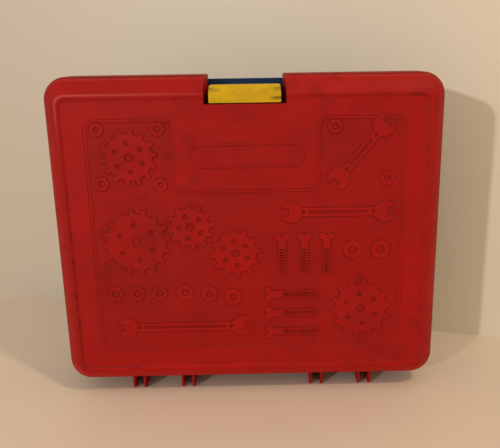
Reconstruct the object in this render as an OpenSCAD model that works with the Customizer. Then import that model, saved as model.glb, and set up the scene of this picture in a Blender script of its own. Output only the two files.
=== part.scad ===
// Carry case for a construction set: a red front shell hinged to a blue rear shell along the
// bottom, a yellow grip latch in a notch at the top, and a compartment tray inside.
// The case stands upright on its hinge ribs, front towards -Y.

/* [Case] */
// Width over the outer edge of the rounded border
case_w = 413; // [360:1:480]
// Height over the outer edge of the rounded border
case_h = 337.6; // [300:0.1:390]
// Radius of the case's four corners
corner_r = 24; // [24:1:34]
// Wall thickness of both shells
wall = 2.5; // [2:0.1:3]
// How much wider each side is at the rim than at the border's outer edge
side_flare = 0.4; // [0.2:0.1:3.5]
// Gap between the two rims when shut
rim_gap = 0.2; // [0.1:0.05:0.5]

/* [Front shell] */
// Depth of the front shell, rim to border lip
front_depth = 42; // [40:1:50]
// Width of the rounded border
band_w = 18.5; // [16:0.5:21]
// Slope of the border at its outer edge, degrees
band_start = 60; // [52:1:66]
// Slope of the border at its inner lip, degrees
band_end = 12; // [6:1:20]
// Width of the crease between border and face
crease_w = 1.8; // [1.2:0.1:2.4]
// How far the face lies below the border's lip
crease_drop = 1; // [0.6:0.1:1.4]

/* [Relief] */
// Distance from the side creases to the sunk field
field_side = 23.8; // [15:0.1:30]
// Distance from the top crease to the sunk field
field_top = 25.2; // [14:0.1:26]
// Distance from the bottom crease to the sunk field
field_bottom = 22.7; // [14:0.1:26]
// Corner radius of the sunk field
field_r = 12; // [6:1:16]
// Depth of the sunk field, which is the height of its raised shapes
relief_h = 1; // [0.6:0.1:1.2]
// Width of the plain block in the middle of the field's top
block_w = 150.8; // [130:0.1:160]
// How far the plain block reaches down into the field
block_drop = 74.9; // [60:0.1:85]
// Radius of the corners between the block and the field's top
block_r = 9; // [6:0.5:12]
// Length of the bare badge
badge_w = 120; // [90:1:130]
// Height of the bare badge
badge_h = 25; // [16:1:30]
// Distance from the top crease to the badge's middle
badge_drop = 62.8; // [50:0.1:66]
// Width of the badge's raised border
badge_line = 2; // [1.2:0.1:3]
// Height of the badge's raised border
badge_rise = 0.6; // [0.3:0.1:1]
// Height of a cog's teeth
tooth_h = 5; // [3:0.5:7]
// Width of a cog's teeth
tooth_w = 5.2; // [4:0.1:6]
// Radius of a spanner's heads
spanner_head_r = 11.5; // [9:0.5:13]
// Width of a spanner's bar, and of its jaws
spanner_bar = 9; // [6:0.5:11]
// Thickness of a bolt's head
bolt_head_t = 7; // [5:0.5:9]
// Width of a bolt's head
bolt_head_w = 16; // [12:0.5:18]
// Width of a bolt's shank
bolt_shank = 8; // [6:0.5:10]

/* [Notch and latch] */
// Width of the notch at the parting plane
notch_w = 78.9; // [76:0.1:90]
// Draft of each notch side, degrees
notch_draft = 3.8; // [1:0.1:6]
// Depth of the notch below the border's outer edge
notch_drop = 28.9; // [25:0.1:30]
// Width of the latch
latch_w = 73.8; // [68:0.1:75]
// How much narrower the latch is at its top
latch_taper = 1; // [0:0.1:5]
// Distance from the border's outer edge down to the latch's top
latch_top_drop = 10.2; // [6:0.1:11]
// Radius of the latch's pillowed front
latch_front_r = 35; // [25:1:60]
// Thickness of the latch's walls
latch_t = 2.2; // [1.8:0.1:2.6]
// Gap between the latch's lower edge and the notch floor
latch_gap = 1.3; // [1.3:0.1:2]
// Distance of the latch pin in front of the parting plane
latch_pin_d = 9.5; // [9:0.5:12]
// Radius of the latch's barrel round its pin
latch_barrel_r = 6.4; // [5.8:0.1:7]
// Radius of the latch pin
latch_pin_r = 1.5; // [1.2:0.1:2]
// Width of each of the two lugs that carry the latch pin
lug_w = 5; // [4:0.5:6]
// Length of the low bead on the notch floor that the latch snaps over
keeper_l = 40; // [20:1:60]
// Height of that bead
keeper_h = 1.1; // [0.5:0.1:1.2]

/* [Hinge] */
// Distance from the border's outer edge down to the floor
foot_drop = 16.4; // [16:0.1:22]
// Distance of the inner hinge pair from the centre
hinge_x1 = 74.3; // [60:0.1:90]
// Distance of the outer hinge pair from the centre
hinge_x2 = 130.5; // [115:0.5:150]
// Distance between the two ribs of a pair, middle to middle
rib_pitch = 12.2; // [10:0.1:14]
// Thickness of a hinge rib
rib_t = 2.6; // [1.8:0.1:3]
// How far the ribs' front edge lies behind the border's outer edge
rib_set = 2.8; // [0:0.1:6]
// Radius of a rib's front lower corner
rib_corner = 4; // [2:0.5:5]
// Height of the hinge axis above the floor
axis_h = 7; // [6.6:0.1:7.5]
// Radius of the ribs' rounded ends round the hinge pins
ear_r = 6.4; // [5.5:0.1:6.5]
// Radius of the rear knuckles
knuckle_r = 5.4; // [4.5:0.1:6]
// Radius of the hinge pins
pin_r = 2; // [1.5:0.1:2.5]
// Depth of the rear foot ribs behind the parting plane
rear_foot = 30; // [26:1:32]

/* [Rear shell] */
// Depth of the rear shell, rim to back
rear_depth = 42; // [40:1:54]
// Radius of the rear shell's back edge
rear_round = 12; // [8:1:16]
// Margin between the back's edge and its sunk panel
panel_margin = 30; // [20:1:50]
// Depth of the sunk panel on the back
panel_sink = 0.8; // [0.4:0.1:1]
// How far the grip bar's top lies below the rim
bar_drop = 5.2; // [2:0.1:6]
// Depth of the grip bar, front to back
bar_d = 16; // [14:0.5:18]
// Height of the grip bar
bar_h = 21; // [18:0.5:24]
// Finger room under the grip bar
finger_room = 24; // [20:1:28]
// How much wider the hand pocket is than the notch, on each side
pocket_side = 3.4; // [1:0.1:4]
// Thickness of the locating lip inside the rim
lip_t = 1.5; // [1.2:0.1:2]
// Height of the locating lip above the rim
lip_h = 2.5; // [1.5:0.1:3]

/* [Tray] */
// Gap between the shell's inside and the tray's walls
tray_inset = 8; // [7.5:0.5:12]
// Thickness of the tray's walls and floor
tray_t = 1.5; // [1.2:0.1:2]
// Corner radius of the tray's outer wall
tray_r = 40; // [38:1:44]
// Depth of the tray's flange below the rim
flange_drop = 5; // [4.8:0.1:7]
// Height of the long compartment at the bottom
long_bin = 62; // [50:1:70]
// Width of the two side columns
side_bin = 92; // [80:1:100]
// Number of compartments in the left column
left_bins = 4; // [3:1:5]
// Height of the removable dividers
divider_h = 27; // [20:1:29]
// Thickness of the clear cover
cover_t = 1.2; // [0.8:0.1:1.4]
// Corner radius of the clear cover
cover_r = 60; // [58:1:64]
// Length of the small-parts box
box_w = 112; // [90:1:130]
// Width of the small-parts box
box_h = 72; // [60:1:80]
// Depth of the small-parts box without its lid
box_d = 24; // [18:1:26]
// Radius of the screw bosses
boss_r = 4; // [3.5:0.1:4.5]
// Distance of each screw from its corner's centre, along both sides
boss_at = 8.5; // [8:0.1:9.5]
// Radius of the tray screws
screw_r = 1.25; // [1:0.05:1.5]

/* [Clearances] */
// Radial running clearance of a pin in what turns on it
run_gap = 0.05; // [0.03:0.01:0.08]
// Radial clearance of a pin or screw in what grips it
grip_gap = 0.02; // [0.01:0.01:0.03]
// Side clearance between moving pieces
side_gap = 0.3; // [0.3:0.05:0.4]
// Clearance round pieces that lift out
fit_gap = 0.4; // [0.3:0.05:0.6]

/* [Hidden] */
$fn = 64;
over = 1; // how far cutting shapes pass the faces they cut
arc_steps = 10; // straight steps in the border's curve
bench_z = foot_drop + case_h / 2; // height of the case's centre when it stands
hinge_xs = [-hinge_x2, -hinge_x1, hinge_x1, hinge_x2];
top_edge = case_h / 2;
side_edge = case_w / 2;
floor_v = -top_edge - foot_drop;
axis_v = floor_v + axis_h;
rim_top = top_edge + side_flare;

// Border curve, as [inset from the outer edge, distance in front of the parting plane]
band_r = band_w / (sin(band_start) - sin(band_end));
edge_d = front_depth - band_r * (cos(band_end) - cos(band_start));
band_c = [band_r * sin(band_start), edge_d - band_r * cos(band_start)];
face_d = front_depth - crease_drop;
crease_in = band_w + crease_w;
crease_top = top_edge - band_w;
crease_side = side_edge - band_w;
front_outline = concat([[-side_flare, rim_gap / 2]],
    arc_points(band_c, band_r, 90 + band_start, 90 + band_end, arc_steps),
    [[band_w + crease_w / 2, front_depth - crease_drop / 3], [crease_in, face_d]]);
front_hollow = concat([[wall - side_flare, -over]],
    arc_points(band_c, band_r - wall, 90 + band_start, 90 + band_end, arc_steps),
    [[crease_in, face_d - wall]]);

// Rear shell, with distances behind the parting plane below zero
rear_c = [rear_round, rear_round - rear_depth];
rear_outline = concat([[-side_flare, -rim_gap / 2]],
    arc_points(rear_c, rear_round, 180, 270, arc_steps));
rear_hollow = concat([[wall - side_flare, over]],
    arc_points(rear_c, rear_round - wall, 180, 270, arc_steps));
rear_floor = wall - rear_depth;
flare_slope = side_flare / edge_d;
lip_in = wall - side_flare + lip_h * flare_slope + fit_gap; // inset of the locating lip's outer face
lip_base = 4; // depth of the lip's thick foot behind the rim
liner_in = lip_in + lip_t + fit_gap; // inset of the flange and the cover

// Notch, latch and grip
notch_v = top_edge - notch_drop;
notch_spread = tan(notch_draft);
bar_top = rim_top - bar_drop;
bar_low = bar_top - bar_h;
pocket_v = bar_low - finger_room;
pocket_half = notch_w / 2 + pocket_side;
rim_side = 1; // how much wider the opening in the rear rim is than the notch, on each side
latch_top = top_edge - latch_top_drop;
latch_low = notch_v + latch_gap;
latch_pin_v = latch_top - latch_barrel_r;
latch_bend_v = latch_low + 3; // where the latch's front starts to curve back
latch_sweep = asin((latch_top - latch_bend_v) / latch_front_r);
lug_r = latch_barrel_r - latch_t - side_gap;
cheek_x = latch_w / 2 - latch_taper / 2;
lug_x = cheek_x - latch_t - side_gap - lug_w / 2; // the lugs stand just inside the latch's cheeks
keeper_w = 1.4; // width of the snap bead
keeper_back = 1.6; // how far the bead lies behind the latch's inner face
lug_foot = 8; // how far a lug's root reaches down the grip bar
lug_fall = 3; // how far a lug's upper edge falls towards the grip bar
bar_round = 4; // radius of the grip bar's rear upper edge

// Hinge
ear_in = rib_pitch / 2 - rib_t / 2; // inner face of a hinge rib, from its pair's middle
ear_out = rib_pitch / 2 + rib_t / 2;
knuckle_w = 2 * (ear_in - side_gap);
rib_front = edge_d - rib_set;
root_lap = 1; // how far ribs reach into the walls that carry them

// Sunk field
field_w = 2 * (crease_side - field_side);
field_hi = crease_top - field_top;
field_lo = field_bottom - crease_top;
badge_v = crease_top - badge_drop;

// Tray
tray_w = case_w - 2 * (wall + tray_inset);
tray_h = case_h - 2 * (wall + tray_inset);
tray_low = rear_floor + 0.3;
flange_lo = -flange_drop - tray_t;
pocket_x = pocket_half + wall + fit_gap + 1; // half width that the tray leaves for the hand pocket
pocket_lo = pocket_v - wall - fit_gap - 1;
column_x = tray_w / 2 - side_bin;
bin_lo = long_bin - tray_h / 2;
boss_x = side_edge - corner_r + boss_at;
boss_v = top_edge - corner_r + boss_at;
screw_l = 10;
screw_head_r = 2.8;
screw_head_h = 1.6;
divider_count = 3;
divider_step = (tray_h / 2 - tray_t - bin_lo) / (divider_count + 1);
guide_t = 1; // thickness of the ribs that guide a divider
guide_l = 3; // how far those ribs reach into the compartment
lap = 0.2; // how far small features reach into the walls that carry them
box_corner = 6; // corner radius of the small-parts box
cell_corner = 4; // corner radius of its cells
skirt_h = 4; // height of its lid's skirt
finger_r = 14; // radius of the finger notch in the clear cover
box_v = (bin_lo + pocket_lo) / 2;
box_floor = tray_low + tray_t + 0.1;

// Raised shapes of the field, about the case's centre: x, height, then size
cogs = [[-121, 87, 29, 14], [-119, -4, 36, 16], [-61, 12, 25, 12], [-14, -18, 27, 12], [122, -84, 33, 14]];
spanners = [[119, 89, 50, 94], [96, 26, 0, 122], [-72, -102, 0, 150]];
nuts = [[-90, 116, 8], [-151, 60, 8], [92, 116, 8], [147, 61, 8], [-146, -62, 9], [-122, -62, 9],
    [-98, -62, 9]];
bolts = [[36, -20, -90, 46], [60, -20, -90, 46], [84, -20, -90, 46], [46, -66, 0, 58],
    [46, -88, 0, 58], [46, -110, 0, 58]];
washers = [[-152, 116, 7], [-90, 58, 7], [-70, -62, 9], [-44, -64, 9],
    [-18, -68, 9], [112, -16, 10], [142, -16, 10]];

// Points on an arc about c, from angle a to angle b in n steps
function arc_points(c, r, a, b, n) = [for (i = [0 : n]) c + r * turn(a + (b - a) * i / n)];
function turn(a) = [cos(a), sin(a)];
function reversed(a) = [for (i = [len(a) - 1 : -1 : 0]) a[i]];

// Stands the case up: the bench frame has x, height from the centre and distance in front of the rims
module upright() {
    translate([0, 0, bench_z]) rotate([90, 0, 0]) children();
}

// Flat rounded rectangle
module rounded(w, h, r) {
    square([w - 2 * r, h], center = true);
    square([w, h - 2 * r], center = true);
    for (x = [-1, 1], y = [-1, 1]) translate([x * (w / 2 - r), y * (h / 2 - r)]) circle(r);
}

// Layer of a rounded rectangle that follows the case's outline at an inset
module layer(inset, r, low, high) {
    translate([0, 0, low]) linear_extrude(high - low) rounded(case_w - 2 * inset, case_h - 2 * inset, r);
}

// Dished body of the case's outline: turned corners and straight sides share one profile
module dished(profile) {
    low = profile[0][1];
    high = profile[len(profile) - 1][1];
    half = [side_edge - corner_r, top_edge - corner_r];
    shape = concat([[0, low]], [for (p = profile) [corner_r - p[0], p[1]]], [[0, high]]);
    for (i = [0 : 3]) rotate(90 * i) {
        far = i % 2 == 0 ? half : [half[1], half[0]];
        translate(far) rotate_extrude(angle = 90) polygon(shape);
        translate(far) rotate([90, 0, 0]) linear_extrude(2 * far[1]) polygon(shape);
    }
    translate([-half[0], -half[1], min(low, high)]) cube([2 * half[0], 2 * half[1], abs(high - low)]);
}

// Slab across the case: a side profile in [distance, height], centred on x
module across(x, w) {
    translate([x - w / 2, 0, 0]) rotate([0, -90, 0]) mirror([0, 0, 1]) linear_extrude(w) children();
}

// Prism of the drafted notch, grown by a wall
module notch(grow) {
    near = notch_w / 2 + grow;
    far = near + notch_spread * (front_depth + over);
    translate([0, top_edge + side_flare + over + grow, 0]) rotate([90, 0, 0])
        linear_extrude(notch_drop + side_flare + over + 2 * grow)
            polygon([[-near, -over], [near, -over], [far, front_depth + over], [-far, front_depth + over]]);
}

module front_shell() {
    color("firebrick") upright() {
        difference() {
            union() {
                difference() {
                    dished(front_outline);
                    dished(front_hollow);
                }
                intersection() {
                    dished(front_outline);
                    notch(wall);
                }
                badge();
            }
            translate([0, 0, -over]) notch_opening();
            field();
        }
        raised_shapes();
        keeper();
        for (x = hinge_xs, side = [-1, 1]) front_rib(x + side * rib_pitch / 2);
    }
}

// What the notch takes out of the front shell
module notch_opening() {
    near = notch_w / 2 - notch_spread * over;
    far = notch_w / 2 + notch_spread * (front_depth + over);
    translate([0, rim_top + over, 0]) rotate([90, 0, 0]) linear_extrude(rim_top + over - notch_v)
        polygon([[-near, 0], [near, 0], [far, front_depth + 2 * over], [-far, front_depth + 2 * over]]);
}

module field() {
    mid_v = (field_hi + field_lo) / 2;
    translate([0, 0, face_d - relief_h]) linear_extrude(relief_h + over) difference() {
        translate([0, mid_v]) rounded(field_w, field_hi - field_lo, field_r);
        translate([0, field_hi]) rounded(block_w, 2 * block_drop, field_r);
        for (side = [0, 1]) mirror([side, 0]) translate([block_w / 2, field_hi]) corner_fill(block_r);
    }
}

// Rounds off the square corner at the origin that opens towards +X and -Y
module corner_fill(r) {
    difference() {
        translate([-over, -r]) square([r + over, r + over]);
        translate([r, -r]) circle(r);
    }
}

// Stadium outline; nothing is written in it
module badge() {
    translate([0, badge_v, face_d - wall / 2]) linear_extrude(wall / 2 + badge_rise) difference() {
        rounded(badge_w, badge_h, badge_h / 2 - 0.01);
        rounded(badge_w - 2 * badge_line, badge_h - 2 * badge_line, badge_h / 2 - badge_line - 0.01);
    }
}

module raised_shapes() {
    translate([0, 0, face_d - relief_h - wall / 4]) linear_extrude(relief_h + wall / 4) {
        for (c = cogs) translate([c[0], c[1]]) cog(c[2], c[3]);
        for (s = spanners) translate([s[0], s[1]]) rotate(s[2]) spanner(s[3]);
        for (n = nuts) translate([n[0], n[1]]) circle(n[2], $fn = 6);
        for (b = bolts) translate([b[0], b[1]]) rotate(b[2]) bolt(b[3]);
        for (w = washers) translate([w[0], w[1]]) circle(w[2]);
    }
}

module cog(r, teeth) {
    root_r = r - tooth_h;
    circle(root_r);
    for (i = [0 : teeth - 1]) rotate(360 * i / teeth)
        translate([root_r - root_lap, -tooth_w / 2]) square([tooth_h + root_lap, tooth_w]);
}

module spanner(l) {
    square([l - 2 * spanner_head_r, spanner_bar], center = true);
    for (side = [0, 180]) rotate(side) translate([l / 2 - spanner_head_r, 0]) difference() {
        circle(spanner_head_r);
        translate([spanner_head_r / 4, -spanner_bar / 2]) square([spanner_head_r, spanner_bar]);
    }
}

module bolt(l) {
    translate([-l / 2, -bolt_head_w / 2]) square([bolt_head_t, bolt_head_w]);
    translate([-l / 2, -bolt_shank / 2]) square([l, bolt_shank]);
}

// Low bead that the latch snaps over
module keeper() {
    translate([-keeper_l / 2, notch_v - wall / 2, face_d - latch_t - keeper_back])
        cube([keeper_l, wall / 2 + keeper_h, keeper_w]);
}

// One of the eight red ribs: a foot and a hinge ear in one
module front_rib(x) {
    across(x, rib_t) difference() {
        union() {
            polygon([[0, floor_v], [rib_front - rib_corner, floor_v], [rib_front, floor_v + rib_corner],
                [rib_front, root_lap - top_edge], [rim_gap / 2, root_lap - rim_top],
                [rim_gap / 2, axis_v]]);
            translate([rib_front - rib_corner, floor_v + rib_corner]) circle(rib_corner);
            translate([0, axis_v]) circle(ear_r);
        }
        translate([0, axis_v]) circle(pin_r + run_gap);
    }
}

module rear_shell() {
    color("midnightblue") upright() {
        difference() {
            union() {
                difference() {
                    dished(rear_outline);
                    dished(rear_hollow);
                }
                lip();
                intersection() {
                    dished(rear_outline);
                    pocket_walls();
                }
                at_bosses(rear_floor - wall / 2) cylinder(r = boss_r, h = flange_lo - rear_floor + wall / 2);
            }
            hand_pocket();
            at_bosses(flange_lo - screw_l) cylinder(r = screw_r + grip_gap, h = screw_l + over);
            back_panel();
        }
        grip_bar();
        for (side = [-1, 1]) latch_lug(side * lug_x);
        for (x = hinge_xs) knuckle(x);
    }
}

// The four corners where the tray is screwed down
module at_bosses(d) {
    for (x = [-1, 1], y = [-1, 1]) translate([x * boss_x, y * boss_v, d]) children();
}

// Lip inside the rim that locates the front shell, left out at the hand pocket
module lip() {
    r = corner_r - lip_in;
    inner = lip_in + lip_t;
    difference() {
        union() {
            layer(lip_in, r, -lip_base, lip_h);
            layer(0, corner_r, -lip_base, -rim_gap / 2);
        }
        layer(inner, corner_r - inner, -lip_base - over, lip_h + over);
        translate([-pocket_x - over, pocket_lo, -rim_gap / 2])
            cube([2 * (pocket_x + over), 2 * case_h, lip_h + over]);
    }
}

module pocket_walls() {
    half = pocket_half + wall;
    translate([-half, pocket_v - wall, -rear_depth])
        cube([2 * half, rim_top - pocket_v + wall, rear_depth]);
}

// Hand pocket: open above and behind, and under the grip bar; above the bar it opens forward too
module hand_pocket() {
    half = notch_w / 2 + rim_side;
    translate([-pocket_half, pocket_v, -rear_depth - over])
        cube([2 * pocket_half, rim_top, rear_depth + over - wall]);
    translate([-half, bar_top, -wall - over]) cube([2 * half, rim_top, wall + 2 * over]);
}

// Grip bar: a channel open below
module grip_bar() {
    across(0, 2 * pocket_half + wall) difference() {
        union() {
            translate([-bar_d, bar_low]) square([bar_d - rim_gap / 2, bar_h - bar_round]);
            translate([bar_round - bar_d, bar_low]) square([bar_d - bar_round - rim_gap / 2, bar_h]);
            translate([bar_round - bar_d, bar_top - bar_round]) circle(bar_round);
        }
        translate([wall - bar_d, bar_low - over]) square([bar_d - 2 * wall, bar_h - wall + over]);
    }
}

module latch_lug(x) {
    across(x, lug_w) difference() {
        union() {
            translate([latch_pin_d, latch_pin_v]) circle(lug_r);
            polygon([[-wall / 2, latch_pin_v - lug_foot], [latch_pin_d, latch_pin_v - lug_r + lap],
                [latch_pin_d, latch_pin_v], [-wall / 2, latch_pin_v - lug_fall]]);
        }
        translate([latch_pin_d, latch_pin_v]) circle(latch_pin_r + grip_gap);
    }
}

// Barrel on a hinge pin with two foot ribs behind it
module knuckle(x) {
    top_v = root_lap - rim_top;
    difference() {
        union() {
            across(x, knuckle_w) translate([0, axis_v]) circle(knuckle_r);
            for (side = [-1, 1]) across(x + side * (knuckle_w - rib_t) / 2, rib_t) {
                polygon([[-side_gap, floor_v], [-side_gap, top_v],
                    [-rear_foot, top_v + flare_slope * rear_foot], [-rear_foot, floor_v + rib_corner],
                    [rib_corner - rear_foot, floor_v]]);
                translate([rib_corner - rear_foot, floor_v + rib_corner]) circle(rib_corner);
            }
        }
        across(x, knuckle_w + 2 * over) translate([0, axis_v]) circle(pin_r + grip_gap);
    }
}

// Shallow plain panel on the back, below the hand pocket
module back_panel() {
    w = case_w - 2 * (rear_round + panel_margin);
    low = panel_margin + rear_round - top_edge;
    high = pocket_v - wall - panel_margin / 2;
    translate([0, (low + high) / 2, -rear_depth - over]) linear_extrude(panel_sink + over)
        rounded(w, high - low, field_r);
}

// Outline of the latch's front, [distance, height]: flush with the face below, then curving back
function latch_side(t) = concat([[face_d - t, latch_low]],
    arc_points([face_d - latch_front_r, latch_bend_v], latch_front_r - t, 0, latch_sweep, arc_steps));

module latch() {
    outer = latch_side(0);
    inner = [for (p = latch_side(latch_t)) if (p[1] < latch_top - latch_t) p];
    under = [[inner[len(inner) - 1][0], latch_top - latch_t], [latch_pin_d, latch_top - latch_t]];
    color("gold") upright() intersection() {
        difference() {
            union() {
                across(0, latch_w)
                    polygon(concat([[latch_pin_d, latch_top]], reversed(outer), inner, under));
                across(0, 2 * (lug_x - lug_w / 2 - side_gap)) translate([latch_pin_d, latch_pin_v])
                    circle(latch_barrel_r);
                for (side = [-1, 1]) across(side * (cheek_x - latch_t / 2), latch_t) latch_cheek(outer);
            }
            across(0, latch_w) translate([latch_pin_d, latch_pin_v]) circle(latch_pin_r + run_gap);
        }
        latch_taper_cut();
    }
}

module latch_cheek(outer) {
    heel = latch_pin_v - latch_barrel_r + 1; // the cheek's lower edge rises from the front to here
    polygon(concat([[latch_pin_d, heel], [latch_pin_d, latch_top]], reversed(outer)));
    translate([latch_pin_d, latch_pin_v]) circle(latch_barrel_r);
}

// The latch narrows towards its top
module latch_taper_cut() {
    low = latch_w / 2;
    high = low - latch_taper / 2;
    mid_v = (latch_low + latch_top) / 2;
    linear_extrude(front_depth + over) polygon([[-low, latch_low - over], [low, latch_low - over],
        [low, mid_v], [high, latch_top + over], [-high, latch_top + over], [-low, mid_v]]);
}

module latch_pin() {
    color("silver") upright() across(0, 2 * (cheek_x - 0.5)) translate([latch_pin_d, latch_pin_v])
        circle(latch_pin_r);
}

module hinge_pin(i) {
    color("silver") upright() across(hinge_xs[i - 1], 2 * ear_out) translate([0, axis_v]) circle(pin_r);
}

// Flat shape of the tray or its cover at an inset, with room for the hand pocket
module tray_shape(inset, r, grow) {
    difference() {
        rounded(case_w - 2 * inset, case_h - 2 * inset, r);
        translate([-pocket_x + grow, pocket_lo + grow]) square([2 * (pocket_x - grow), case_h]);
    }
}

module parts_tray() {
    outer = wall + tray_inset;
    inner = outer + tray_t;
    high = -flange_drop;
    color("lightslategray") upright() {
        difference() {
            union() {
                translate([0, 0, tray_low]) linear_extrude(high - tray_low) tray_shape(outer, tray_r, 0);
                translate([0, 0, flange_lo]) linear_extrude(tray_t)
                    tray_shape(liner_in, corner_r - liner_in, 0);
            }
            translate([0, 0, tray_low + tray_t]) linear_extrude(high - tray_low)
                tray_shape(inner, tray_r - tray_t, -tray_t);
            at_bosses(flange_lo - over) cylinder(r = screw_r + fit_gap, h = tray_t + 2 * over);
        }
        translate([0, 0, tray_low + tray_t / 2]) linear_extrude(high - tray_low - tray_t / 2)
            intersection() {
                tray_shape(inner - tray_t / 2, tray_r - tray_t / 2, -tray_t / 2);
                partitions();
            }
        for (i = [1 : divider_count], side = [-1, 1])
            divider_guide(bin_lo + i * divider_step + side * (tray_t + fit_gap + guide_t) / 2);
    }
}

// Fixed walls between the compartments
module partitions() {
    left_step = (tray_h / 2 - tray_t - bin_lo) / left_bins;
    translate([-case_w / 2, bin_lo - tray_t]) square([case_w, tray_t]);
    for (side = [-1, 1]) translate([side * column_x - tray_t / 2, bin_lo - tray_t])
        square([tray_t, case_h]);
    for (i = [1 : left_bins - 1]) translate([-case_w / 2, bin_lo + i * left_step - tray_t / 2])
        square([case_w / 2 - column_x, tray_t]);
}

// Pair of short ribs that hold a divider upright at both its ends
module divider_guide(v) {
    for (x = [column_x + tray_t / 2 - lap, tray_w / 2 - tray_t - guide_l + lap])
        translate([x, v - guide_t / 2, tray_low + tray_t / 2]) cube([guide_l, guide_t, divider_h]);
}

module tray_divider(i) {
    low = column_x + tray_t / 2 + fit_gap;
    high = tray_w / 2 - tray_t - fit_gap;
    color("lightslategray") upright()
        translate([low, bin_lo + i * divider_step - tray_t / 2, tray_low + tray_t])
            cube([high - low, tray_t, divider_h]);
}

module tray_screws() {
    color("silver") upright() at_bosses(-flange_drop) {
        translate([0, 0, tray_t - screw_l]) cylinder(r = screw_r, h = screw_l - tray_t / 2);
        cylinder(r = screw_head_r, h = screw_head_h);
    }
}

// Clear sheet that keeps small parts in their compartments, with a finger notch at its lower edge
module tray_cover() {
    color("lightcyan", 0.4) upright() translate([0, 0, -flange_drop]) linear_extrude(cover_t) difference() {
        tray_shape(liner_in, cover_r, 0);
        translate([0, liner_in - top_edge]) circle(finger_r);
    }
}

module small_parts_box() {
    cell = [(box_w - tray_t) / 3, (box_h - tray_t) / 2];
    color("gold") upright() translate([0, box_v, box_floor]) difference() {
        linear_extrude(box_d) rounded(box_w, box_h, box_corner);
        for (i = [-1, 0, 1], j = [-0.5, 0.5]) translate([i * cell[0], j * cell[1], tray_t])
            linear_extrude(box_d) rounded(cell[0] - tray_t, cell[1] - tray_t, cell_corner);
    }
}

// Lid that drops over the box's walls
module small_parts_lid() {
    outer = 2 * (tray_t + fit_gap);
    inner = 2 * fit_gap;
    color("lightcyan", 0.4) upright() translate([0, box_v, box_floor + box_d]) {
        linear_extrude(tray_t) rounded(box_w + outer, box_h + outer, box_corner);
        translate([0, 0, -skirt_h]) linear_extrude(skirt_h + tray_t / 2) difference() {
            rounded(box_w + outer, box_h + outer, box_corner);
            rounded(box_w + inner, box_h + inner, box_corner);
        }
    }
}

front_shell();
rear_shell();
latch();
latch_pin();
hinge_pin(1);  // hinge_pin_1
hinge_pin(2);  // hinge_pin_2
hinge_pin(3);  // hinge_pin_3
hinge_pin(4);  // hinge_pin_4
parts_tray();
tray_screws();
tray_cover();
tray_divider(1);  // tray_divider_1
tray_divider(2);  // tray_divider_2
tray_divider(3);  // tray_divider_3
small_parts_box();
small_parts_lid();
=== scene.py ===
import math

import bmesh
import bpy
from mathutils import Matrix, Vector
from mathutils.geometry import tessellate_polygon


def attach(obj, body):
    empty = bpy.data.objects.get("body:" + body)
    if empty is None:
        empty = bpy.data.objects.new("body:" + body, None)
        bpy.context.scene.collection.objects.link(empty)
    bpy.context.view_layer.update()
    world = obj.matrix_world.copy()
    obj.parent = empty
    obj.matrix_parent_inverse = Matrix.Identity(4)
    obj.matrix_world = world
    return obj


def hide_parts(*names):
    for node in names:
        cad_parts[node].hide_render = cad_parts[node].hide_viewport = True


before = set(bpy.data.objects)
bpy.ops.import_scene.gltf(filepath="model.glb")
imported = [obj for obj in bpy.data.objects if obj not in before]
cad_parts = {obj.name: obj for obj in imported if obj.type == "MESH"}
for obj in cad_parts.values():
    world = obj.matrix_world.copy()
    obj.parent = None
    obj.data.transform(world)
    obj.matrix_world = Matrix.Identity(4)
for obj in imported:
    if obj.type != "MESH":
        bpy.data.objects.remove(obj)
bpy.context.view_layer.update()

mm = 0.001
scene = bpy.context.scene
scene.view_settings.view_transform = "Standard"

# The case's own sizes, the same as in its solids
case = {
    "width": 413 * mm,
    "height": 337.6 * mm,
    "corner": 24 * mm,
    "middle": 185.2 * mm,  # height of the case's centre above the floor
    "wall": 2.5 * mm,
    "flare": 0.4 * mm,
    "rimGap": 0.2 * mm,
    "depth": 42 * mm,
}

shell = {
    "bandWidth": 18.5 * mm,
    "bandStart": 60,  # slopes of the solid's border, in degrees
    "bandEnd": 12,
    "creaseWidth": 1.8 * mm,
    "creaseDrop": 1 * mm,
    "edgeRound": 1.2 * mm,
    "stripWidth": 2.2 * mm,  # the border's steep outermost strip
    "stripSlope": 64,
    "swellEnd": 16.6 * mm,  # how far in the border's swell reaches before it sinks softly to the face
    "swellSlopes": (46, 8),
    "swellBend": 2.5,
    "swellSteps": 24,
    "lipWidth": 5 * mm,
    "lipSteps": 10,
    "lipFoot": 0.8 * mm,  # flat beyond the lip, before the face
    "shares": (0.95, 1.16, 1.015),  # the border's width at the sides, top and bottom
    "cornerShare": 0.86,
    "cornerSteps": 20,
    "notchRound": 1.8 * mm,
    "notchSteps": 6,
    "notchWidth": 78.9 * mm,
    "notchDraft": 3.8,
    "notchDrop": 28.9 * mm,
    "softEdge": 0.5 * mm,
}

# How edges are softened and shaded; the angles are in degrees
edges = {
    "segments": 2,
    "angle": 32,
    "sharp": 38,
    "weld": 0.002 * mm,
    "flat": 0.5,
}


# Shapes in the plane, as lists of points

def turn(degrees):
    return math.cos(math.radians(degrees)), math.sin(math.radians(degrees))


def arc(centre, radius, start, end, steps):
    points = []
    for i in range(steps + 1):
        c, s = turn(start + (end - start) * i / steps)
        points.append((centre[0] + radius * c, centre[1] + radius * s))
    return points


def circle(x, v, radius, steps=28):
    return arc((x, v), radius, 0, 360 - 360 / steps, steps - 1)


def reversedHole(points):
    return list(reversed(points))


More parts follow.
